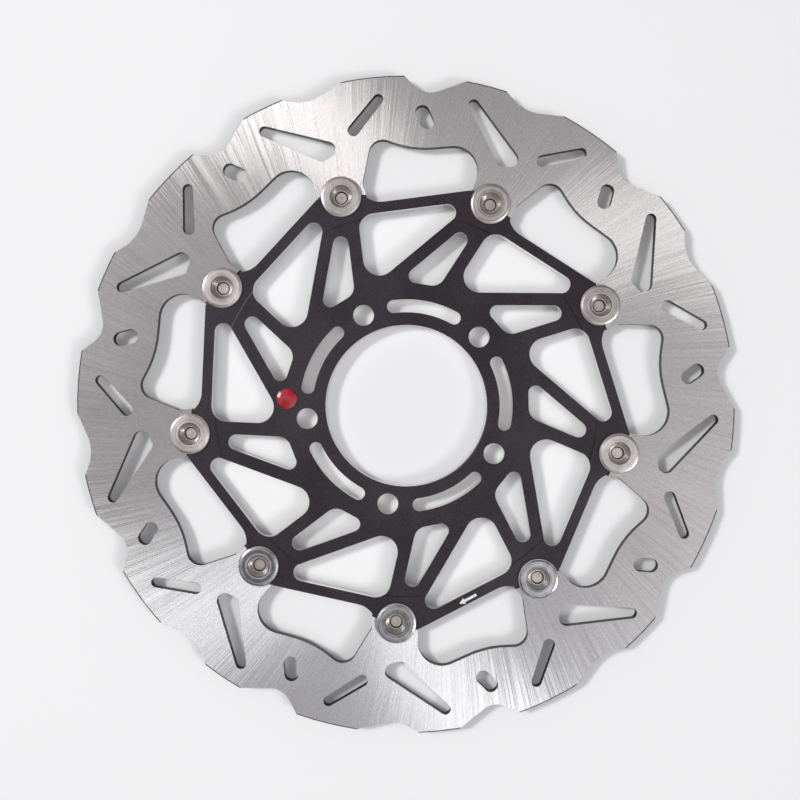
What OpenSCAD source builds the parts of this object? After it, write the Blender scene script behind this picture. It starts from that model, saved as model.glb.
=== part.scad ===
// Floating brake disc for a motorcycle's front wheel.
// A waved steel ring floats on a spoked aluminium carrier. Nine bobbins sit half in the
// carrier's lugs and half in the ring, and each is kept by a curved spring washer, a flat
// washer and a retaining ring behind the lug. The axis of the wheel is Z, the origin is on
// the rear mounting face, and X runs through the first bobbin and the first bolt hole.

/* [Braking ring] */
// Diameter over the wave crests
disc_d = 320; // [300:1:340]
// Thickness of the ring
ring_t = 5; // [4:0.1:6.5]
// How far the ring can float along the axis
ring_float = 0.4; // [0.2:0.05:1]
// Depth of the corner that each deep valley is rounded from
deep_valley = 9.6; // [7:0.1:11]
// Rounding of the deep valleys
deep_r = 11; // [6:0.5:13]
// Depth of the corner that each shallow valley is rounded from
shallow_valley = 6.7; // [5:0.1:8]
// Rounding of the shallow valleys
shallow_r = 20; // [12:0.5:24]
// Chamfer on the turned edges of the crests
crest_chamfer = 0.4; // [0.2:0.1:0.8]

/* [Ring cut-outs] */
// Distance of the long slot's narrow end from the crest circle
long_slot_rim = 10.5; // [8:0.1:14]
// Distance of the long slot's wide end from the bobbin circle
long_slot_in = 23.9; // [21:0.1:28]
// Radius of the long slot's narrow end
long_slot_tip_r = 2.6; // [1.8:0.1:3.4]
// Radius of the long slot's wide end
long_slot_root_r = 4; // [3:0.1:4.6]
// Distance of the short slot's outer end from the crest circle
short_slot_rim = 10.9; // [8:0.1:14]
// Distance of the short slot's inner end from the bobbin circle
short_slot_in = 29.9; // [26:0.1:33]
// Radius of the short slot's outer end
short_slot_tip_r = 2.5; // [1.8:0.1:3.2]
// Radius of the short slot's inner end
short_slot_root_r = 2.9; // [2:0.1:3.6]
// Length of the oblong hole between the centres of its ends
oblong_l = 5.2; // [3:0.1:8]
// Width of the oblong hole
oblong_w = 6.9; // [4:0.1:8]

/* [Hub] */
// Bore that centres the disc on the wheel
bore_d = 78.5; // [72:0.1:81]
// Chamfer at both ends of the bore
bore_chamfer = 0.5; // [0.2:0.1:1]
// Pitch circle of the wheel bolts
bolt_circle_d = 97; // [94:0.5:103]
// Clearance hole for a wheel bolt
bolt_hole_d = 10.1; // [6.5:0.1:11]
// Width of the curved slots between the bolt holes
arc_slot_w = 6.3; // [4:0.1:7]
// Angle from a bolt hole to the end of a curved slot
arc_slot_lead = 18; // [14:0.5:26]
// Distance of the hub's flat sides from the axis
hub_r = 59.4; // [57:0.1:63]
// Margin of the rear mounting pad inside the hub
pad_margin = 2.4; // [1:0.1:4]
// Room between the bobbin tails and the plane of the mounting pad
tail_room = 0.6; // [0.3:0.1:4]

/* [Carrier spokes] */
// Width of the two spokes that run to each lug
spoke_w = 6; // [4.5:0.1:7]
// Direction of the long spoke's normal, from the bobbin's radius
spoke_a_dir = 62.3; // [60:0.1:65]
// Distance at which the long spoke's middle passes the bobbin
spoke_a_pass = 2.8; // [1:0.1:4]
// Direction of the short spoke's normal, from the bobbin's radius
spoke_b_dir = 79.8; // [78:0.1:82]
// Distance at which the short spoke's middle passes the bobbin
spoke_b_pass = -3.8; // [-5:0.1:-2]
// Width of the outer bars that join the lugs
bar_w = 5; // [4:0.1:6]
// Distance at which a bar's outer edge passes the bobbin
bar_pass = 7.75; // [7:0.05:9]
// Distance of the carrier's turned step inside the bobbin circle
step_in = 13.4; // [11:0.1:16]
// Depth of the turned step
lug_step = 0.6; // [0.2:0.1:1.5]

/* [Bobbins] */
// Pitch circle of the bobbins
bobbin_circle_d = 212; // [206:0.5:220]
// Diameter of a bobbin's shank
shank_d = 14.5; // [13:0.1:16]
// Radial running clearance of a shank in its seat
seat_gap = 0.05; // [0.02:0.01:0.1]
// Diameter of a bobbin's flange
flange_d = 19.5; // [18:0.1:21]
// Thickness of a bobbin's flange
flange_t = 1.6; // [1.2:0.1:2.5]
// Chamfer on the flange's rim
flange_chamfer = 0.35; // [0.2:0.05:0.6]
// Width of the gentle slope inside that chamfer
rim_w = 0.75; // [0.3:0.05:1.2]
// Drop of the slope
rim_drop = 0.2; // [0.05:0.05:0.4]
// Diameter of the blind pocket in a bobbin
pocket_d = 10.4; // [8:0.1:11.5]
// Depth of the pocket to its ledge
pocket_deep = 4.6; // [3:0.1:5]
// Diameter of the pocket's cone at the ledge
ledge_d = 7.3; // [6.8:0.1:7.6]
// Width of the ledge
ledge_w = 0.35; // [0.2:0.05:0.6]
// Diameter of the flat at the bottom of the pocket
pocket_flat_d = 5.2; // [3:0.1:5.4]
// Depth of the flat below the ledge
flat_drop = 1; // [0.6:0.1:1.4]
// Chamfer at the mouth of the pocket
pocket_chamfer = 0.25; // [0.1:0.05:0.5]
// Width of the slit between a lug and the ring
slit_w = 0.9; // [0.6:0.1:1.4]
// Axial play between a bobbin and its lug, at each end
end_play = 0.1; // [0.05:0.01:0.2]

/* [Bobbin retainers] */
// Diameter of the spring and flat washers
washer_d = 19; // [18:0.1:21]
// Radial clearance of the washers on the shank
washer_gap = 0.2; // [0.1:0.05:0.3]
// Thickness of the spring washer's strip
spring_t = 0.4; // [0.3:0.05:0.6]
// Height that the spring washer is curved
spring_rise = 0.5; // [0.3:0.05:0.8]
// Thickness of the flat washer
washer_t = 0.5; // [0.3:0.05:1]
// Thickness of the retaining ring
clip_t = 0.8; // [0.6:0.05:1.2]
// Outer diameter of the retaining ring
clip_d = 17.4; // [16.5:0.1:18.5]
// Depth of the retaining ring's groove
groove_depth = 0.6; // [0.4:0.05:1]
// Angle of the retaining ring's gap
clip_opening = 50; // [30:1:80]
// Length of the shank past the groove
tail_l = 0.6; // [0.4:0.1:1.5]
// Chamfer on the shank's end
tail_chamfer = 0.3; // [0.1:0.05:0.35]

/* [Badge] */
// Diameter of the domed badge
badge_d = 10; // [8:0.1:11]
// Height of the badge's edge
badge_edge = 0.5; // [0.3:0.1:0.8]
// Rise of the badge's dome above its edge
badge_rise = 0.7; // [0.4:0.1:1.2]

/* [Hidden] */
bobbin_count = 9;
bolt_count = 5;
pitch = 360 / bobbin_count;
bolt_pitch = 360 / bolt_count;
numbers = [for (i = [1 : bobbin_count]) i];

$fn = 96;
// Overlap that lets an arc cross the lines it blends into
lap = 0.003;
// How far a cut runs past its face
past = 1;
// Axial gap between the stacked retainers
stack_gap = 0.03;
// Share of an outline's side that the rounding of one corner may take
side_share = 0.98;
// How far a valley's sides run on past the crest circle, as a share of their length
valley_reach = 1.5;

disc_r = disc_d / 2;
bobbin_r = bobbin_circle_d / 2;
bolt_r = bolt_circle_d / 2;
shank_r = shank_d / 2;
seat_r = shank_r + seat_gap;

// Heights, from the mounting pad up
tail_z = tail_room;
groove_z = tail_z + tail_l;
washer_z = groove_z + clip_t + 2 * stack_gap;
spring_z = washer_z + washer_t + stack_gap;
lug_z = spring_z + spring_rise + spring_t + end_play;
lug_t = ring_t + ring_float;
lug_top = lug_z + lug_t;
hub_top = lug_top + lug_step;
flange_z = lug_top + end_play;
bobbin_top = flange_z + flange_t;

// Angles of the wave crests' ends, from a bobbin's radius
shallow_from = -6.2;
shallow_to = 5;
deep_from = 12;
deep_to = 23.1;
// Angles of the corners that the valleys are rounded from
shallow_at = 0.9;
deep_at = 19.2;

// Direction of the slit's normal, from a bobbin's radius
slit_dir = -14;
// Reach of the lug's lower tip, and of the ring's two tips, along the slit
lug_tip_low = 11.8;
ring_tip_low = 12.2;
ring_tip_high = 11.3;
// Direction and rounding of the shoulder between a lug and the bar before it
shoulder_dir = -56;
shoulder_r = 11.7;
// Direction of the outer bar's normal
bar_dir = 30;
// Roundings of a wide window: at the hub, between long spoke and bar, between bar and short spoke
wide_window_r = [7.9, 4.3, 7.5];
// Roundings of a slim window: between hub and short spoke, at the lug, between long spoke and hub
slim_window_r = [6.5, 3.8, 3.6];
// Direction of the hub's flat side below a slim window
hub_side_dir = 14;

// Corners of the ring's inner edge round one bobbin: [outwards from it, across, rounding]
inner_bulge = [11.8, -40.3, 48];
inner_heel = [24.1, -23.3, 6.9];
inner_notch = [3.3, -11.7, 4];
inner_bay = [27.5, 11, 11.8];

// Angles of the ring's slots and of its oblong hole, from a bobbin's radius
long_slot_tip_at = 10;
long_slot_root_at = -0.2;
// Third round of the long slot, from its wide end: [outwards, across, radius]
long_slot_heel = [-3, 3.6, 2.1];
short_slot_tip_at = 27.9;
short_slot_root_at = 33.5;
oblong_at = 19;
// Direction of the oblong hole's length, from a bobbin's radius
oblong_dir = 48;
// How far the oblong hole lies outside the middle of the ring
oblong_shift = 7.2;

// Angle of the badge, and its distance inside the hub's flat sides
badge_at = -10.7;
badge_in = 1.4;

function polar(r, a) = [r * cos(a), r * sin(a)];
function turned(p, a) = [p.x * cos(a) - p.y * sin(a), p.x * sin(a) + p.y * cos(a)];
function unit(v) = v / norm(v);
function cross2(a, b) = a.x * b.y - a.y * b.x;

// A line is [direction of its normal, distance from the axis]. This is where two lines meet.
function meet(a, b) =
    [a[1] * sin(b[0]) - b[1] * sin(a[0]), b[1] * cos(a[0]) - a[1] * cos(b[0])] / sin(b[0] - a[0]);

// Line that passes a bobbin at a distance, and a line through a point
function pass_bobbin(dir, distance) = [dir, bobbin_r * cos(dir) + distance];
function through(p, dir) = [dir, p * polar(1, dir)];
function shifted(line, distance) = [line[0], line[1] + distance];
function swung(line, a) = [line[0] + a, line[1]];

// Point beside a bobbin: across the slit, then along it
function beside_slit(across, along) =
    [bobbin_r, 0] + across * polar(1, slit_dir) + along * polar(1, slit_dir + 90);

function before(list, i) = list[(i + len(list) - 1) % len(list)];
function after(list, i) = list[(i + 1) % len(list)];
function xy(p) = [p.x, p.y];

// Rounding of corner i of a closed outline: [centre, radius, foot on each side, bend].
// Its radius is limited so that both feet stay on their sides.
function corner(outline, i) =
    let (
        p = xy(outline[i]),
        u = unit(xy(before(outline, i)) - p),
        v = unit(xy(after(outline, i)) - p),
        half = acos(u * v) / 2,
        reach = min(norm(xy(before(outline, i)) - p), norm(xy(after(outline, i)) - p)) * side_share,
        r = min(outline[i][2], reach * tan(half)),
        foot = max(r - lap, 0) / tan(half),
        centre = p + unit(u + v) * max(r - lap, 0) / sin(half))
    [centre, r, p + foot * u, p + foot * v, cross2(-u, v)];

// Closed outline, counter-clockwise, of [x, y, rounding] corners with true arcs
module rounded(outline) {
    corners = [for (i = [0 : len(outline) - 1]) corner(outline, i)];
    difference() {
        union() {
            polygon([for (c = corners, side = c[1] > 0 ? [2, 3] : [2]) c[side]]);
            for (c = corners)
                if (c[1] > 0 && c[4] > 0)
                    translate(c[0]) circle(c[1]);
        }
        for (c = corners)
            if (c[1] > 0 && c[4] < 0)
                translate(c[0]) circle(c[1]);
    }
}

// Direction from the centre of round a to the side that it shares with round b
function side_dir(a, b) =
    let (d = xy(b) - xy(a))
    atan2(d.y, d.x) - acos((a[2] - b[2]) / norm(d));

// Outline pulled tight round circles of [x, y, r], given counter-clockwise
module belt(rounds) {
    polygon([for (i = [0 : len(rounds) - 1], end = [0, 1])
        let (a = rounds[i], dir = end == 0 ? side_dir(before(rounds, i), a) : side_dir(a, after(rounds, i)))
        xy(a) + polar(a[2] - lap, dir)]);
    for (a = rounds)
        translate(xy(a)) circle(a[2]);
}

module each_bobbin() {
    for (i = numbers)
        rotate((i - 1) * pitch) children();
}

module each_bolt() {
    for (i = [0 : bolt_count - 1])
        rotate(i * bolt_pitch) children();
}

module at_bobbin(i) {
    rotate((i - 1) * pitch) translate([bobbin_r, 0, 0]) children();
}

module seats() {
    each_bobbin() translate([bobbin_r, 0]) circle(seat_r);
}

// Edges of the carrier's bars and spokes in the first sector
bar_edge = pass_bobbin(bar_dir, bar_pass);
spoke_a = pass_bobbin(spoke_a_dir, spoke_a_pass);
spoke_b = pass_bobbin(spoke_b_dir, spoke_b_pass);
lug_face = pass_bobbin(slit_dir, -slit_w / 2);
lug_tip = turned(beside_slit(-slit_w / 2, -lug_tip_low), pitch);
shoulder = through(lug_tip, shoulder_dir + pitch);

function window(lines, radii) = [for (i = [0 : 2]) concat(meet(lines[i], after(lines, i)), radii[i])];

wide_window = window(
    [swung(shifted(spoke_b, -spoke_w / 2), pitch), shifted(spoke_a, spoke_w / 2), shifted(bar_edge, -bar_w)],
    wide_window_r);
slim_window = window(
    [[hub_side_dir, hub_r], shifted(spoke_b, spoke_w / 2), shifted(spoke_a, -spoke_w / 2)],
    slim_window_r);

carrier_edge = [for (i = numbers, p = [
        concat(meet(lug_face, bar_edge), 0),
        concat(meet(bar_edge, shoulder), shoulder_r),
        concat(lug_tip, 0)])
    concat(turned(p, (i - 1) * pitch), p[2])];

module arc_slot() {
    difference() {
        circle(bolt_r + arc_slot_w / 2);
        circle(bolt_r - arc_slot_w / 2);
        rotate(arc_slot_lead - 180) translate([-disc_r, 0]) square([2 * disc_r, disc_r]);
        rotate(bolt_pitch - arc_slot_lead) translate([-disc_r, 0]) square([2 * disc_r, disc_r]);
    }
    for (a = [arc_slot_lead, bolt_pitch - arc_slot_lead])
        rotate(a) translate([bolt_r, 0]) circle(arc_slot_w / 2 + lap);
}

module hub_holes() {
    circle(bore_d / 2);
    each_bolt() translate([bolt_r, 0]) circle(bolt_hole_d / 2);
    each_bolt() arc_slot();
}

module spider() {
    difference() {
        rounded(carrier_edge);
        each_bobbin() rounded(wide_window);
        each_bobbin() rounded(slim_window);
        seats();
    }
}

module bore_cone(z, up) {
    translate([0, 0, z]) mirror([0, 0, up ? 0 : 1]) translate([0, 0, -bore_chamfer])
        cylinder(h = bore_chamfer + past, r1 = bore_d / 2, r2 = bore_d / 2 + bore_chamfer + past);
}

// Cut that lowers the carrier's face outside a 45 degree shoulder
module turned_step() {
    step_r = bobbin_r - step_in;
    translate([0, 0, lug_top]) difference() {
        cylinder(h = lug_step + past, r = disc_r);
        cylinder(h = lug_step + past, r1 = step_r + lug_step, r2 = step_r - past);
    }
}

module carrier() {
    color([0.16, 0.15, 0.16])
    difference() {
        union() {
            translate([0, 0, lug_z]) linear_extrude(hub_top - lug_z) spider();
            linear_extrude(lug_z + past) circle(hub_r - pad_margin);
        }
        translate([0, 0, -past]) linear_extrude(hub_top + 2 * past) hub_holes();
        turned_step();
        bore_cone(0, false);
        bore_cone(hub_top, true);
    }
}

module badge() {
    dome_r = (pow(badge_d / 2, 2) + pow(badge_rise, 2)) / (2 * badge_rise);
    color([0.78, 0.05, 0.08])
    translate(polar(hub_r - badge_in, badge_at)) translate([0, 0, hub_top])
    intersection() {
        cylinder(h = badge_edge + badge_rise + past, r = badge_d / 2);
        translate([0, 0, badge_edge + badge_rise - dome_r]) sphere(dome_r);
    }
}

// Corner of a wave valley, with its two sides carried past the crest circle
module valley(at, depth, from, to, r) {
    bottom = polar(disc_r - depth, at);
    rounded([
        concat(bottom, r),
        concat(bottom + valley_reach * (polar(disc_r, from) - bottom), 0),
        concat(bottom + valley_reach * (polar(disc_r, to) - bottom), 0)]);
}

inner_edge = [for (i = numbers, p = [
        inner_bulge + [bobbin_r, 0, 0],
        inner_heel + [bobbin_r, 0, 0],
        inner_notch + [bobbin_r, 0, 0],
        concat(beside_slit(slit_w / 2, -ring_tip_low), 0),
        concat(beside_slit(slit_w / 2, ring_tip_high), 0),
        inner_bay + [bobbin_r, 0, 0]])
    concat(turned(p, (i - 1) * pitch), p[2])];

module long_slot() {
    root = polar(bobbin_r + long_slot_in, long_slot_root_at);
    belt([
        concat(root, long_slot_root_r),
        concat(polar(disc_r - long_slot_rim, long_slot_tip_at), long_slot_tip_r),
        concat(root, 0) + long_slot_heel]);
}

module short_slot() {
    belt([
        concat(polar(bobbin_r + short_slot_in, short_slot_root_at), short_slot_root_r),
        concat(polar(disc_r - short_slot_rim, short_slot_tip_at), short_slot_tip_r)]);
}

module oblong() {
    middle = polar((disc_r + bobbin_r) / 2 + oblong_shift, oblong_at);
    belt([for (end = [-1, 1])
        concat(middle + polar(end * oblong_l / 2, oblong_dir), oblong_w / 2)]);
}

module ring_outline() {
    difference() {
        circle(disc_r);
        each_bobbin() valley(deep_at, deep_valley, deep_from, deep_to, deep_r);
        each_bobbin() valley(shallow_at, shallow_valley, shallow_from, shallow_to, shallow_r);
        rounded(inner_edge);
        seats();
        each_bobbin() long_slot();
        each_bobbin() short_slot();
        each_bobbin() oblong();
    }
}

module brake_ring() {
    color([0.62, 0.61, 0.6])
    translate([0, 0, lug_z])
    intersection() {
        linear_extrude(ring_t) ring_outline();
        rotate_extrude() polygon([
            [0, 0],
            [disc_r - crest_chamfer, 0],
            [disc_r, crest_chamfer],
            [disc_r, ring_t - crest_chamfer],
            [disc_r - crest_chamfer, ring_t],
            [0, ring_t]]);
    }
}

module bobbin(i) {
    groove_r = shank_r - groove_depth;
    groove_top = groove_z + clip_t + 2 * stack_gap;
    ledge_z = bobbin_top - pocket_deep;
    flat_z = ledge_z - flat_drop;
    color([0.72, 0.69, 0.66])
    at_bobbin(i) rotate_extrude() polygon([
        [0, tail_z],
        [shank_r - tail_chamfer, tail_z],
        [shank_r, tail_z + tail_chamfer],
        [shank_r, groove_z],
        [groove_r, groove_z],
        [groove_r, groove_top],
        [shank_r, groove_top],
        [shank_r, flange_z],
        [flange_d / 2, flange_z],
        [flange_d / 2, bobbin_top - rim_drop - flange_chamfer],
        [flange_d / 2 - flange_chamfer, bobbin_top - rim_drop],
        [flange_d / 2 - flange_chamfer - rim_w, bobbin_top],
        [pocket_d / 2 + pocket_chamfer, bobbin_top],
        [pocket_d / 2, bobbin_top - pocket_chamfer],
        [ledge_d / 2, ledge_z],
        [ledge_d / 2 - ledge_w, ledge_z],
        [pocket_flat_d / 2, flat_z],
        [0, flat_z]]);
}

// Flat blank of a washer, from its lower face
module washer_blank(z, h) {
    translate([0, 0, z]) linear_extrude(h) difference() {
        circle(washer_d / 2);
        circle(shank_r + washer_gap);
    }
}

// Solid under an arch that is spring_rise high over the washer's width
module arch(crown) {
    arch_r = (pow(washer_d / 2, 2) + pow(spring_rise, 2)) / (2 * spring_rise);
    translate([0, washer_d, crown - arch_r]) rotate([90, 0, 0])
        cylinder(h = 2 * washer_d, r = arch_r, $fn = 360);
}

module spring_washer(i) {
    color([0.5, 0.5, 0.52])
    at_bobbin(i) intersection() {
        washer_blank(spring_z - past, spring_rise + spring_t + 2 * past);
        difference() {
            arch(spring_z + spring_rise + spring_t);
            arch(spring_z + spring_rise);
        }
    }
}

module flat_washer(i) {
    color([0.66, 0.66, 0.67])
    at_bobbin(i) washer_blank(washer_z, washer_t);
}

module retaining_ring(i) {
    inner_r = shank_r - groove_depth + stack_gap;
    color([0.3, 0.3, 0.31])
    at_bobbin(i) translate([0, 0, groove_z + stack_gap]) rotate(clip_opening / 2)
    rotate_extrude(angle = 360 - clip_opening) translate([inner_r, 0]) square([clip_d / 2 - inner_r, clip_t]);
}

carrier();
badge();
brake_ring();
for (i = numbers) {
    bobbin(i);
    spring_washer(i);
    flat_washer(i);
    retaining_ring(i);
}
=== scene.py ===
import math

import bmesh
import bpy
from mathutils import Matrix, Vector


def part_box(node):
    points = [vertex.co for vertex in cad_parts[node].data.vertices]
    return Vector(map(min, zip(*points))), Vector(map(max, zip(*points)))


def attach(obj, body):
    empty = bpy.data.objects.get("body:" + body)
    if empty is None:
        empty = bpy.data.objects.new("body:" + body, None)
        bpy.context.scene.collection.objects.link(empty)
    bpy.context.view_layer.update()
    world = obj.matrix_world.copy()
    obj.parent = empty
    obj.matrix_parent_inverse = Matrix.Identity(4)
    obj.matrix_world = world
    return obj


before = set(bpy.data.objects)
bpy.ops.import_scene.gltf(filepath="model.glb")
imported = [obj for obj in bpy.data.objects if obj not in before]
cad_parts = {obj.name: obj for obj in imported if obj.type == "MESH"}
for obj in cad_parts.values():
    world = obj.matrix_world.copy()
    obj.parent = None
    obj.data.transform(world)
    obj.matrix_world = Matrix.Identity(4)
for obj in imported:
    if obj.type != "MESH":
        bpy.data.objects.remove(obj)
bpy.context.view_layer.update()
scene = bpy.context.scene
scene.view_settings.view_transform = "Standard"
mm = 0.001
bobbinCount = 9


class Wire:
    # one output socket that can stand in a Python sum
    def __init__(self, paint, socket):
        self.paint = paint
        self.socket = socket

    def __getitem__(self, output):
        return Wire(self.paint, self.socket.node.outputs[output])

    def maths(self, operation, *values):
        return self.paint.node("Math", {"operation": operation}, dict(enumerate(values)))

    def __add__(self, other):
        return self.maths("ADD", self, other)

    def __radd__(self, other):
        return self.maths("ADD", other, self)

    def __sub__(self, other):
        return self.maths("SUBTRACT", self, other)

    def __rsub__(self, other):
        return self.maths("SUBTRACT", other, self)

    def __mul__(self, other):
        return self.maths("MULTIPLY", self, other)

    def __rmul__(self, other):
        return self.maths("MULTIPLY", other, self)

    def __truediv__(self, other):
        return self.maths("DIVIDE", self, other)

    def __rtruediv__(self, other):
        return self.maths("DIVIDE", other, self)

    def __pow__(self, other):
        return self.maths("POWER", self, other)

    def __rpow__(self, other):
        return self.maths("POWER", other, self)

    def log(self):
        return self.maths("LOGARITHM", self, math.e)

    def size(self):
        return self.maths("ABSOLUTE", self)

    def between(self, low, high):
        # 0 at low, 1 at high, eased in between
        settings = {"interpolation_type": "SMOOTHSTEP", "clamp": True}
        sockets = {"Value": self, "From Min": low, "From Max": high}
        return self.paint.node("MapRange", settings, sockets)

    def past(self, limit, soft):
        return self.between(limit - soft, limit + soft)

    def within(self, rise, fall):
        # 1 from the end of rise to the start of fall
        return self.between(*rise) * (1 - self.between(*fall))


class Paint:
    # one material or world while its nodes are laid
    def __init__(self, owner):
        self.owner = owner
        owner.use_nodes = True
        self.tree = owner.node_tree
        self.tree.nodes.clear()

    def node(self, kind, settings=(), sockets=(), out=0):
        made = self.tree.nodes.new("ShaderNode" + kind)
        for name, value in dict(settings).items():
            setattr(made, name, value)
        for name, value in dict(sockets).items():
            if isinstance(value, Wire):
                self.tree.links.new(value.socket, made.inputs[name])
            else:
                made.inputs[name].default_value = value
        return Wire(self, made.outputs[out])

    def mixed(self, share, first, second, blend="MIX"):
        settings = {"data_type": "RGBA", "blend_type": blend}
        return self.node("Mix", settings, {0: share, 6: colour(first), 7: colour(second)}, out=2)

    def vector(self, operation, *values, out=0):
        return self.node("VectorMath", {"operation": operation}, dict(enumerate(values)), out)

    def scaled(self, vector, factor):
        return self.node("VectorMath", {"operation": "SCALE"}, {"Vector": vector, "Scale": factor})

    def spun(self, vector, angle):
        settings = {"rotation_type": "Z_AXIS"}
        return self.node("VectorRotate", settings, {"Vector": vector, "Angle": angle})

    def length(self, vector):
        return self.vector("LENGTH", vector, out="Value")

    def towards(self, vector, bearing):
        # 1 where a unit vector points to the bearing, -1 where it points away
        return self.vector("DOT_PRODUCT", vector, heading(bearing), out="Value")

    def parts(self, vector):
        return self.node("SeparateXYZ", {}, {0: vector})

    def place(self):
        return self.node("TexCoord")["Object"]   # metres, in the object's own frame

    def inPiece(self, size, middle):
        # mm from a point of the piece's own box, given as shares of its sides
        centred = self.vector("SUBTRACT", self.node("TexCoord")["Generated"], middle)
        return self.vector("MULTIPLY", centred, tuple(size))

    def noise(self, place, scale=1.0, detail=2.0, roughness=0.5):
        sockets = {"Vector": place, "Scale": scale, "Detail": detail, "Roughness": roughness}
        return self.node("TexNoise", {"noise_dimensions": "3D"}, sockets)

    def bump(self, height, depth, normal=None):
        sockets = {"Height": height, "Distance": depth * mm, "Strength": 1.0}
        if normal is not None:
            sockets["Normal"] = normal
        return self.node("Bump", {}, sockets)

    def surface(self, **sockets):
        named = {name.replace("_", " "): value for name, value in sockets.items()}
        self.finish(self.node("BsdfPrincipled", {}, named))
        return self.owner

    def seen(self):
        # 1 for rays that show the room, straight, in a reflection or through a clear piece
        rays = self.node("LightPath")
        straight = rays.maths("MAXIMUM", rays["Is Camera Ray"], rays["Is Transmission Ray"])
        return rays.maths("MAXIMUM", straight, rays["Is Glossy Ray"])

    def finish(self, shader):
        kind = "OutputWorld" if isinstance(self.owner, bpy.types.World) else "OutputMaterial"
        made = self.tree.nodes.new("ShaderNode" + kind)
        self.tree.links.new(shader.socket, made.inputs["Surface"])


def colour(value):
    return value if isinstance(value, Wire) else (*value, 1.0)


def heading(bearing):
    # unit vector at a bearing, in degrees round the wheel axis
    turn = math.radians(bearing)
    return (math.cos(turn), math.sin(turn), 0.0)


def slope(degrees):
    return math.tan(math.radians(degrees))


def radial(split):
    return (split["X"] * split["X"] + split["Y"] * split["Y"]) ** 0.5


def newPaint(name):
    return Paint(bpy.data.materials.new(name))


def sized(node):
    low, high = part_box(node)
    return high - low


groundRing = {
    "bright": (0.722, 0.704, 0.702),
    "dull": (0.522, 0.505, 0.503),
    "leastBright": 0.12,   # share of bright steel, to which strands and specks add
    "strandTone": 0.28,
    "speckTone": 0.48,
    "speck": 0.7,          # mm
    "stretch": (0.3, 0.7),  # noise from here to here fills the whole scale
    "stain": (0.47, 0.45, 0.455),
    "stainCells": 22.0,    # per metre
    "stainEdge": (0.52, 0.78),
    "stainShare": 0.35,
    "warm": (1.010, 1.0, 0.992),    # a little warmer over most of the face
    "cool": (0.974, 1.0, 1.014),    # a little cooler towards one side
    "coolBearing": 73.0,   # degrees round the wheel axis
    "coolEdge": (0.25, 0.8),        # cosine to that bearing, from warm to cool
    "cut": (0.016, 0.014, 0.016),   # walls left by the cutting; also laid on the crests' rim band, where it is partly a painted dark reflection
    "cutRoughness": 0.3,   # added on those walls
    "faceRise": (0.75, 0.97),       # upward share of the normal, from wall to ground face
    "rim": 159.38,         # mm, outside this radius the crests' turned edge gets the cut walls' dark look: partly its own finish, partly a painted dark reflection
    "rimSoft": 0.05,       # mm
    "lean": -9.0,          # degrees that the grinding lines lean from the radius
    "burr": 0.2,           # degrees that the lines' flanks face round the wheel
    "scatter": 1.2,        # degrees that single lines tip along their length
    "middle": 136.0,       # mm, radius at which the widths below hold
    "fine": (0.45, 60.0),  # mm, width and length of the finest lines
    "coarse": (1.5, 80.0),
    "band": (7.0, 80.0),
    "shares": (0.72, 0.16, 0.12),   # of fine, coarse and band in the strands
    "relief": (0.6, 0.7),  # height of the fine and the coarse lines, as shares of the depth
    "lineDepth": 0.004,    # mm
    "roughness": 0.28,
    "streak": 0.03,        # how far the strands change the roughness
    "anisotropy": 1.0,
}


def polarGrain(paint, finish):
    # line patterns that run outwards round the wheel axis, as 0 to 1 values
    flat = paint.vector("MULTIPLY", paint.place(), (1 / mm, 1 / mm, 0.0))
    radius = paint.length(flat)
    outward = paint.vector("NORMALIZE", flat)
    # a spiral keeps the same lean at every radius
    swing = (radius / finish["middle"]).log() * -slope(finish["lean"])
    split = paint.parts(paint.spun(outward, swing))
    patterns = []
    for kind in ("fine", "coarse", "band"):
        width, length = finish[kind]
        across = finish["middle"] / width
        grid = paint.node("CombineXYZ", {}, {
            "X": split["X"] * across, "Y": split["Y"] * across, "Z": radius / length})
        patterns.append(paint.noise(grid, detail=1.0, roughness=0.6))
    return radius, outward, patterns


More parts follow.
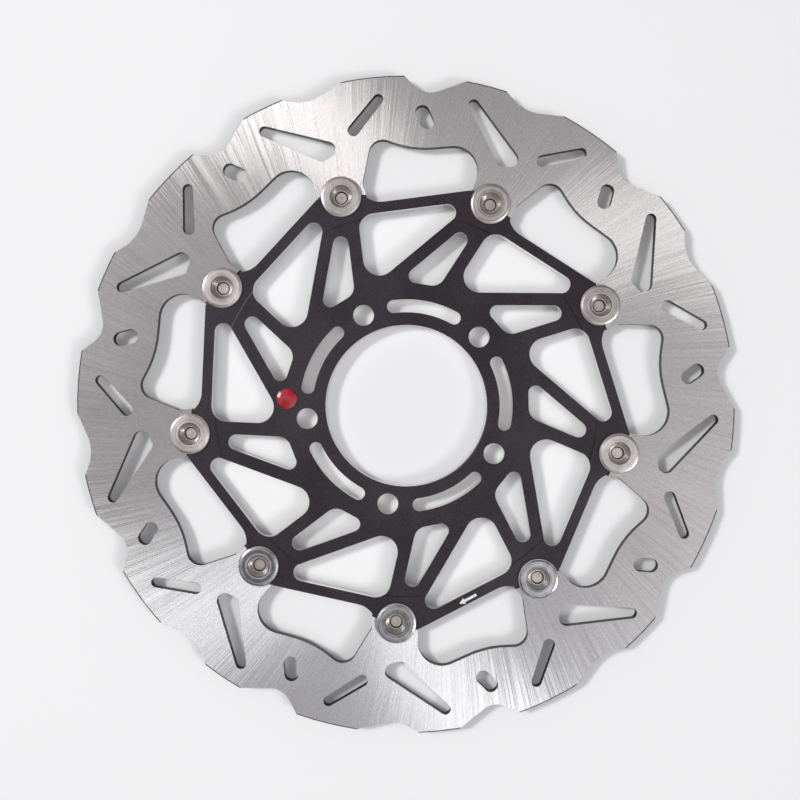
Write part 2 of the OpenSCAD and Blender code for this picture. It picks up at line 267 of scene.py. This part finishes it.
def groundSteel(name, finish):
    paint = newPaint(name)
    place = paint.place()
    radius, outward, (fine, coarse, band) = polarGrain(paint, finish)
    fineShare, coarseShare, bandShare = finish["shares"]
    strands = fine * fineShare + coarse * coarseShare + band * bandShare
    strands = strands.between(*finish["stretch"])
    specks = paint.noise(place, 1 / (finish["speck"] * mm), detail=1.0).between(*finish["stretch"])
    tone = finish["leastBright"] + strands * finish["strandTone"] + specks * finish["speckTone"]
    steel = paint.mixed(tone, finish["dull"], finish["bright"])
    stains = paint.noise(place, finish["stainCells"], detail=3.0, roughness=0.6)
    stains = stains.between(*finish["stainEdge"]) * finish["stainShare"]
    steel = paint.mixed(stains, steel, finish["stain"])
    # the steel's tint turns a little cooler towards one bearing, warmer elsewhere
    coolSide = paint.towards(outward, finish["coolBearing"]).between(*finish["coolEdge"])
    film = paint.mixed(coolSide, finish["warm"], finish["cool"])
    steel = paint.mixed(1.0, steel, film, "MULTIPLY")
    # only the flat faces are ground and the walls are dark; the dark band at the rim is partly a
    # painted dark reflection
    normal = paint.node("NewGeometry")["Normal"]
    face = paint.parts(normal)["Z"].size().between(*finish["faceRise"])
    face = face * (1 - radius.past(finish["rim"], finish["rimSoft"]))
    steel = paint.mixed(face, finish["cut"], steel)
    rough = finish["roughness"] + (strands - 0.5) * finish["streak"]
    rough = rough + (1 - face) * finish["cutRoughness"]
    # the flanks of the lines face a little round the wheel, and single lines tip along their length
    around = paint.scaled(paint.spun(outward, math.pi / 2), face * slope(finish["burr"]))
    tip = (fine.between(*finish["stretch"]) - 0.5) * face * (2 * slope(finish["scatter"]))
    tilted = paint.vector("ADD", paint.vector("ADD", normal, around), paint.scaled(outward, tip))
    fineRelief, coarseRelief = finish["relief"]
    height = fine * fineRelief + coarse * coarseRelief
    return paint.surface(
        Base_Color=steel, Metallic=face, Roughness=rough, Anisotropic=finish["anisotropy"],
        Anisotropic_Rotation=1.0 + finish["lean"] / 360.0,
        Normal=paint.bump(height, finish["lineDepth"], paint.vector("NORMALIZE", tilted)))


turnedBobbin = {
    "bright": (0.67, 0.638, 0.606),
    "dull": (0.39, 0.368, 0.348),
    "ringPitch": 0.6,      # mm
    "ringDepth": 0.010,    # mm
    "roughness": 0.33,
}
# three bobbins came from another batch, cooler and with plainer turning rings
coolBobbin = {
    "bright": (0.61, 0.61, 0.62),
    "dull": (0.20, 0.20, 0.206),
    "ringPitch": 0.9,
    "ringDepth": 0.020,
    "roughness": 0.26,
}
coolOnes = (2, 3, 4)
bobbinTurning = {          # the same on all nine
    "smearCells": 0.28,    # per mm
    "ringShare": 0.7,      # of the turning rings in the tone, the smears have the rest
    "toneEdge": (0.34, 0.66),
    "ringShift": 40.0,     # how far the patterns differ from bobbin to bobbin
    "smearShift": 90.0,
    "ringRoughness": 0.18,  # how far the rings change the roughness
    "anisotropy": 0.35,
    "quarterTurn": 0.25,   # the gloss runs round the bobbin
}
bobbinPocket = {
    "bright": (0.58, 0.548, 0.518),
    "dull": (0.45, 0.422, 0.395),
    "toneEdge": (0.40, 0.65),
    "roughness": 0.26,
    "calm": 0.7,           # share of the rings' roughness that is missing in the pocket
    "oxide": 0.25,         # share of the pocket's look that is dull oxide, not metal
    "depth": (0.2, 0.5),   # mm below the flange's face, over which the pocket begins
    "reach": (5.2, 5.3),   # mm from the bobbin's axis, over which it ends
    "grime": (0.035, 0.028, 0.026),     # painted shade: a dark line round the mouth, where its edge lies in shadow
    "grimeShare": 0.75,
    "lip": ((5.0, 5.1), (5.4, 5.5)),    # mm from the axis, where the line begins and ends
    "lipDepth": (0.3, 0.6),
    "dirt": (0.085, 0.074, 0.068),      # painted shade in the groove below the ledge
    "groove": ((2.45, 2.70), (3.10, 3.30)),
    "grooveDepth": (4.7, 4.9),
}


def turnedSteel(name, finish, node):
    paint = newPaint(name)
    turning, hole = bobbinTurning, bobbinPocket
    place = paint.inPiece(sized(node) / mm, (0.5, 0.5, 1.0))
    split = paint.parts(place)
    radius = radial(split)
    deep = split["Z"] * -1.0
    piece = paint.node("ObjectInfo")["Random"]
    track = paint.node("CombineXYZ", {}, {
        "X": radius / finish["ringPitch"], "Y": split["Z"] / finish["ringPitch"],
        "Z": piece * turning["ringShift"]})
    rings = paint.noise(track, roughness=0.6)
    shift = paint.node("CombineXYZ", {}, {"Z": piece * turning["smearShift"]})
    smear = paint.noise(paint.vector("ADD", place, shift), turning["smearCells"])
    tone = rings * turning["ringShare"] + smear * (1 - turning["ringShare"])
    steel = paint.mixed(tone.between(*turning["toneEdge"]), finish["dull"], finish["bright"])
    tone = (smear * 0.5 + rings * 0.5).between(*hole["toneEdge"])
    pocket = paint.mixed(tone, hole["bright"], hole["dull"])
    # painted shade: the groove below the ledge is darkened
    groove = deep.between(*hole["grooveDepth"]) * radius.within(*hole["groove"])
    pocket = paint.mixed(groove, pocket, hole["dirt"])
    sunk = deep.between(*hole["depth"]) * (1 - radius.between(*hole["reach"]))
    lip = radius.within(*hole["lip"]) * (1 - deep.between(*hole["lipDepth"]))
    steel = paint.mixed(sunk, steel, pocket)
    # painted shade: a dark line round the pocket's mouth
    steel = paint.mixed(lip * hole["grimeShare"], steel, hole["grime"])
    rough = finish["roughness"] + sunk * (hole["roughness"] - finish["roughness"])
    rough = rough + (rings - 0.5) * (1 - sunk * hole["calm"]) * turning["ringRoughness"]
    return paint.surface(
        Base_Color=steel, Metallic=1 - sunk * hole["oxide"], Roughness=rough,
        Anisotropic=turning["anisotropy"], Anisotropic_Rotation=turning["quarterTurn"],
        Normal=paint.bump(rings, finish["ringDepth"]))


anodised = {
    "deep": (0.0175, 0.0118, 0.0168),
    "worn": (0.0355, 0.0278, 0.0347),
    "toneEdge": (0.40, 0.62),
    "grain": 1500.0,       # per metre
    "grainDepth": 0.006,   # mm
    "grainRoughness": 0.16,
    "clouds": 30.0,        # per metre
    "cloudShare": 0.45,    # of the clouds in the tone, the grain has the rest
    "cloudRoughness": 0.10,
    "roughness": 0.40,
    "specular": 0.3,
    "shoulder": (0.12, 0.112, 0.117),   # painted highlight on the turned step, on the side that faces the key light
    "shoulderRise": ((0.55, 0.65), (0.76, 0.86)),   # upward share of the step's normal
    "wornBearing": -40.0,  # degrees round the wheel axis, towards which the step's painted highlight faces
    "wornEdge": (0.58, 0.67),
    "bare": (0.84, 0.83, 0.82),
    "wallRise": (0.05, 0.3),   # upward share of the normal, from wall to face
    "cut": 98.0,           # mm, the walls cut inside this radius are bare
    "cutSoft": 0.5,        # mm
    "inward": 4.0,         # mm that walls facing the axis count as further in
    "inwardEdge": (-0.1, 0.1),   # outward share of the normal, from facing the axis to facing away
    "millMarks": 0.30,     # how much rougher the walls of the windows are
    "polish": 0.45,        # how much of that the bare walls lose
}


def blackAnodised(name, finish):
    paint = newPaint(name)
    place = paint.place()
    grain = paint.noise(place, finish["grain"], detail=3.0, roughness=0.6)
    cloud = paint.noise(place, finish["clouds"], detail=3.0, roughness=0.55)
    tone = cloud * finish["cloudShare"] + grain * (1 - finish["cloudShare"])
    black = paint.mixed(tone.between(*finish["toneEdge"]), finish["deep"], finish["worn"])
    normal = paint.node("NewGeometry")["Normal"]
    rise = paint.parts(normal)["Z"].size()
    # painted highlight: the turned step is paler where its face turns towards the key light
    facing = paint.towards(normal, finish["wornBearing"]).between(*finish["wornEdge"])
    shoulder = rise.within(*finish["shoulderRise"]) * facing
    black = paint.mixed(shoulder, black, finish["shoulder"])
    # the walls of the holes and windows are cut bare, those of the outer edge stay black
    flat = paint.vector("MULTIPLY", place, (1 / mm, 1 / mm, 0.0))
    outward = paint.vector("DOT_PRODUCT", normal, paint.vector("NORMALIZE", flat), out="Value")
    reach = paint.length(flat) + (outward.between(*finish["inwardEdge"]) - 1) * finish["inward"]
    wall = 1 - rise.between(*finish["wallRise"])
    bare = wall * (1 - reach.past(finish["cut"], finish["cutSoft"]))
    rough = finish["roughness"] + (grain - 0.5) * finish["grainRoughness"]
    rough = rough + (cloud - 0.5) * finish["cloudRoughness"]
    rough = rough + wall * finish["millMarks"] - bare * finish["polish"]
    return paint.surface(
        Base_Color=paint.mixed(bare, black, finish["bare"]), Metallic=bare, Roughness=rough,
        Specular_IOR_Level=finish["specular"], Normal=paint.bump(grain, finish["grainDepth"]))


plainMetals = {
    "spring": {"bright": (0.46, 0.46, 0.47), "dull": (0.32, 0.32, 0.335), "roughness": 0.30},
    "washer": {"bright": (0.66, 0.66, 0.66), "dull": (0.50, 0.50, 0.51), "roughness": 0.34},
    "clip": {"bright": (0.15, 0.15, 0.16), "dull": (0.085, 0.085, 0.09), "roughness": 0.48},
}
metalGrain = {             # the same on springs, washers and clips
    "grain": 1800.0,       # per metre
    "grainDepth": 0.003,   # mm
    "grainRoughness": 0.2,
    "clouds": 260.0,       # per metre
    "cloudShare": 0.6,
    "toneEdge": (0.34, 0.66),
}


def plainMetal(name, finish):
    paint = newPaint(name)
    place = paint.place()
    grain = paint.noise(place, metalGrain["grain"], detail=3.0, roughness=0.6)
    cloud = paint.noise(place, metalGrain["clouds"])
    tone = grain * (1 - metalGrain["cloudShare"]) + cloud * metalGrain["cloudShare"]
    tone = tone.between(*metalGrain["toneEdge"])
    return paint.surface(
        Base_Color=paint.mixed(tone, finish["dull"], finish["bright"]), Metallic=1.0,
        Roughness=finish["roughness"] + (grain - 0.5) * metalGrain["grainRoughness"],
        Normal=paint.bump(grain, metalGrain["grainDepth"]))


resin = {
    "red": (0.36, 0.010, 0.018),
    "rim": (0.20, 0.003, 0.008),
    "rimEdge": (0.40, 0.50),   # shares of the badge's diameter, from the dome to its rim
    "specks": 900.0,           # per metre
    "speckEdge": (0.55, 0.8),
    "speckShare": 0.25,
    "speckRoughness": 0.06,
    "roughness": 0.08,
    "specular": 0.2,
    "coatRoughness": 0.03,
}


def redResin(name, finish, node):
    paint = newPaint(name)
    size = sized(node) / mm
    radius = radial(paint.parts(paint.inPiece(size, (0.5, 0.5, 0.5))))
    rim = radius.between(*(size.x * share for share in finish["rimEdge"]))
    specks = paint.noise(paint.place(), finish["specks"])
    flaws = specks.between(*finish["speckEdge"]) * finish["speckShare"]
    red = paint.mixed(rim, finish["red"], finish["rim"])
    return paint.surface(
        Base_Color=paint.mixed(flaws, red, finish["rim"]),
        Roughness=finish["roughness"] + specks * finish["speckRoughness"],
        Specular_IOR_Level=finish["specular"],
        Coat_Weight=1.0, Coat_Roughness=finish["coatRoughness"])


def dress(node, material):
    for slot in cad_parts[node].material_slots:
        slot.material = material


dress("brake_ring", groundSteel("groundRingSteel", groundRing))
dress("carrier", blackAnodised("blackAnodisedCarrier", anodised))
dress("badge", redResin("redResinBadge", resin, "badge"))
bobbinSteel = turnedSteel("turnedBobbinSteel", turnedBobbin, "bobbin_1")
coolSteel = turnedSteel("coolBobbinSteel", coolBobbin, "bobbin_1")
retainers = {"spring_washer": "spring", "flat_washer": "washer", "retaining_ring": "clip"}
retainerMetal = {kind: plainMetal(kind + "Metal", finish) for kind, finish in plainMetals.items()}
for number in range(1, bobbinCount + 1):
    dress(f"bobbin_{number}", coolSteel if number in coolOnes else bobbinSteel)
    for piece, kind in retainers.items():
        dress(f"{piece}_{number}", retainerMetal[kind])
print("finishes laid:", len(bpy.data.materials), "materials")


# printed on the carrier, it shows which way the wheel turns
printedArrow = {
    "centre": (-17.68, 97.34),   # mm, on the bar between the third and the fourth bobbin
    "bearing": 20.6,             # degrees, the way it points
    "step": 0.6,                 # mm from the hub's face down to the bars
    "length": 9.5,               # mm
    "shaft": 1.3,                # mm wide
    "head": (2.9, 3.2),          # mm long and wide
    "barb": 0.15,                # mm that the head's corners point back
    "film": 0.03,                # mm of paint
    "sunk": 0.01,                # mm that it reaches into the bar
    "white": (0.80, 0.785, 0.785),
    "rubbed": (0.42, 0.41, 0.41),
    "rubbedShare": 0.7,
    "wear": 1600.0,              # per metre
    "wearEdge": (0.52, 0.75),
    "wearDepth": 0.006,          # mm
    "wearRoughness": 0.2,
    "roughness": 0.45,
}


def arrowFilm():
    headLength, headWidth = printedArrow["head"]
    tip = printedArrow["length"] / 2
    neck = tip - headLength
    barb = neck - printedArrow["barb"]
    half, wing = printedArrow["shaft"] / 2, headWidth / 2
    upper = [(barb, wing), (neck, half), (-tip, half)]
    lower = [(x, -y) for x, y in reversed(upper)]
    outline = [*lower, (tip, 0.0), *upper]
    shape = bmesh.new()
    under = -printedArrow["sunk"] * mm
    flat = shape.faces.new([shape.verts.new((x * mm, y * mm, under)) for x, y in outline])
    for grown in bmesh.ops.extrude_face_region(shape, geom=[flat])["geom"]:
        if isinstance(grown, bmesh.types.BMVert):
            grown.co.z = printedArrow["film"] * mm
    bmesh.ops.recalc_face_normals(shape, faces=shape.faces)
    mesh = bpy.data.meshes.new("turning_arrow")
    shape.to_mesh(mesh)
    shape.free()
    return mesh


def arrowPaint():
    paint = newPaint("whiteArrowPaint")
    wear = paint.noise(paint.place(), printedArrow["wear"], detail=3.0, roughness=0.6)
    rubbed = wear.between(*printedArrow["wearEdge"]) * printedArrow["rubbedShare"]
    return paint.surface(
        Base_Color=paint.mixed(rubbed, printedArrow["white"], printedArrow["rubbed"]),
        Roughness=printedArrow["roughness"] + wear * printedArrow["wearRoughness"],
        Normal=paint.bump(wear, printedArrow["wearDepth"]))


def turningArrow():
    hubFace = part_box("badge")[0].z   # the badge stands on it
    face = hubFace - printedArrow["step"] * mm
    x, y = printedArrow["centre"]
    turn = Matrix.Rotation(math.radians(printedArrow["bearing"]), 4, "Z")
    arrow = bpy.data.objects.new("turning_arrow", arrowFilm())
    arrow.matrix_world = Matrix.Translation((x * mm, y * mm, face)) @ turn
    arrow.data.materials.append(arrowPaint())
    scene.collection.objects.link(arrow)
    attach(arrow, "carrier")


turningArrow()
print("arrow printed on the carrier")


studio = {
    "floor": (0.903, 0.905, 0.908),
    "inside": (0.94, 0.937, 0.945),  # painted shade: the floor is a little greyer inside the hub, where the hub shades it
    "insideEdge": (0.040, 0.050),    # metres from the axis, under the hub
    "floorSize": 6.0,       # metres
    "floorDrop": 0.05,      # mm below the disc
    "mottle": 0.985,        # how dark the floor's faint clouds are
    "mottleCells": 6.0,     # per metre
    "glow": 0.05,           # share of the floor's look that its own white gives, near the disc
    "far": (0.35, 1.3),     # metres from the disc over which the floor fades to plain white
    "sky": 0.81,            # brightness overhead
    "skyEdge": (0.60, 0.88),       # height over which the walls fade to the sky
    "wall": 0.20,           # brightness of the room's walls
    "tint": (1.0, 0.98, 1.01),     # of the light from the sky and the walls
    "panel": 0.46,          # how much brighter the sky is over one side
    "panelBearing": 118.0,  # degrees round the wheel axis
    "panelEdge": (0.12, 0.42),
    "lineBearing": 145.0,   # the line between the two softboxes
    "gap": 1.0,             # how fast the sky darkens to both sides of that line
    "patch": 0.46,          # how much dimmer two places beside the line are
    "patchSide": (0.06, 0.24),     # off the line, over which they begin
    "patchEnd": (0.14, 0.30),      # along the line, over which they end
    "backdrop": (0.86, 0.86, 0.865),
    "backdropEdge": (0.30, 0.55),  # height over which it fades from what metal mirrors
}


def paleFloor():
    half = studio["floorSize"] / 2
    corners = [(-half, -half, 0), (half, -half, 0), (half, half, 0), (-half, half, 0)]
    mesh = bpy.data.meshes.new("floor")
    mesh.from_pydata(corners, [], [(0, 1, 2, 3)])
    floor = bpy.data.objects.new("floor", mesh)
    floor.location.z = -studio["floorDrop"] * mm
    scene.collection.objects.link(floor)
    paint = newPaint("paleFloor")
    place = paint.place()
    spread = paint.length(place)
    dim = tuple(part * studio["mottle"] for part in studio["floor"])
    pale = paint.mixed(paint.noise(place, studio["mottleCells"]), dim, studio["floor"])
    # painted shade on the floor inside the hub
    shade = paint.mixed(spread.between(*studio["insideEdge"]), studio["inside"], (1.0, 1.0, 1.0))
    pale = paint.mixed(1.0, pale, shade, "MULTIPLY")
    matte = paint.node("BsdfDiffuse", {}, {"Color": pale})
    white = paint.node("Emission", {}, {"Color": colour(studio["backdrop"]), "Strength": 1.0})
    share = studio["glow"] + spread.between(*studio["far"]) * (1 - studio["glow"])
    paint.finish(paint.node("MixShader", {}, {0: paint.seen() * share, 1: matte, 2: white}))
    mesh.materials.append(paint.owner)


def skyDome():
    paint = Paint(bpy.data.worlds.new("studioSky"))
    scene.world = paint.owner
    look = paint.node("TexCoord")["Generated"]
    up = paint.parts(look)["Z"]
    along = paint.towards(look, studio["lineBearing"])
    side = paint.towards(look, studio["lineBearing"] + 90)
    panel = paint.towards(look, studio["panelBearing"]).between(*studio["panelEdge"])
    patch = side.size().between(*studio["patchSide"])
    patch = patch * (1 - along.size().between(*studio["patchEnd"]))
    sky = studio["sky"] + panel * studio["panel"] - side * side * studio["gap"]
    sky = sky - patch * studio["patch"]
    sky = sky.maths("MAXIMUM", sky, studio["wall"])
    # metal mirrors the pale backdrop all round
    low = (1 - up.between(*studio["backdropEdge"])) * paint.seen()
    low = low * (studio["backdrop"][0] - studio["wall"])
    glow = studio["wall"] + low + up.between(*studio["skyEdge"]) * (sky - studio["wall"])
    around = paint.node("Background", {}, {"Color": colour(studio["tint"]), "Strength": glow})
    behind = paint.node("Background", {}, {"Color": colour(studio["backdrop"]), "Strength": 1.0})
    straight = paint.node("LightPath")["Is Camera Ray"]
    paint.finish(paint.node("MixShader", {}, {0: straight, 1: around, 2: behind}))


softboxes = {
    # degrees round the wheel axis, metres out, up and wide, watts, mirrored in metal or not
    "keyBox": {
        "bearing": -28.2, "out": 1.45, "up": 2.00, "size": 0.66, "watts": 13.6, "mirrored": True},
    # stands at the key's place and only firms up its shadows
    "keySpill": {
        "bearing": -28.2, "out": 1.45, "up": 2.00, "size": 0.26, "watts": 16.6, "mirrored": False},
    "fillBox": {
        "bearing": 141.2, "out": 1.34, "up": 1.49, "size": 0.52, "watts": 9.2, "mirrored": True},
}


def aimed(place, target, upBearing):
    # a light or camera at place that faces target, its top towards a bearing
    back = (Vector(place) - Vector(target)).normalized()
    right = Vector(heading(upBearing)).cross(back).normalized()
    turn = Matrix((right, back.cross(right), back)).transposed().to_4x4()
    return Matrix.Translation(place) @ turn


def softbox(name, box):
    lamp = bpy.data.lights.new(name, "AREA")
    lamp.shape = "SQUARE"
    lamp.size = box["size"]
    lamp.energy = box["watts"]
    light = bpy.data.objects.new(name, lamp)
    light.visible_glossy = box["mirrored"]
    x, y = (box["out"] * part for part in heading(box["bearing"])[:2])
    light.matrix_world = aimed((x, y, box["up"]), (0, 0, 0), box["bearing"])
    scene.collection.objects.link(light)


view = {
    "place": (0.00322, -0.01070, 0.53000),
    "target": (0.00267, -0.00315, 0.00859),
    "top": -97.35,          # bearing that is up in the picture
    "lens": 48.26,          # mm
    "sensor": 36.0,         # mm
    "near": 0.01,           # metres, nothing closer is drawn
}


def overheadCamera():
    data = bpy.data.cameras.new("overhead")
    data.lens = view["lens"]
    data.sensor_width = view["sensor"]
    data.clip_start = view["near"]
    camera = bpy.data.objects.new("overhead", data)
    camera.matrix_world = aimed(view["place"], view["target"], view["top"])
    scene.collection.objects.link(camera)
    scene.camera = camera


paleFloor()
skyDome()
for name, box in softboxes.items():
    softbox(name, box)
overheadCamera()
print("stage set: floor, sky,", len(softboxes), "softboxes, camera")
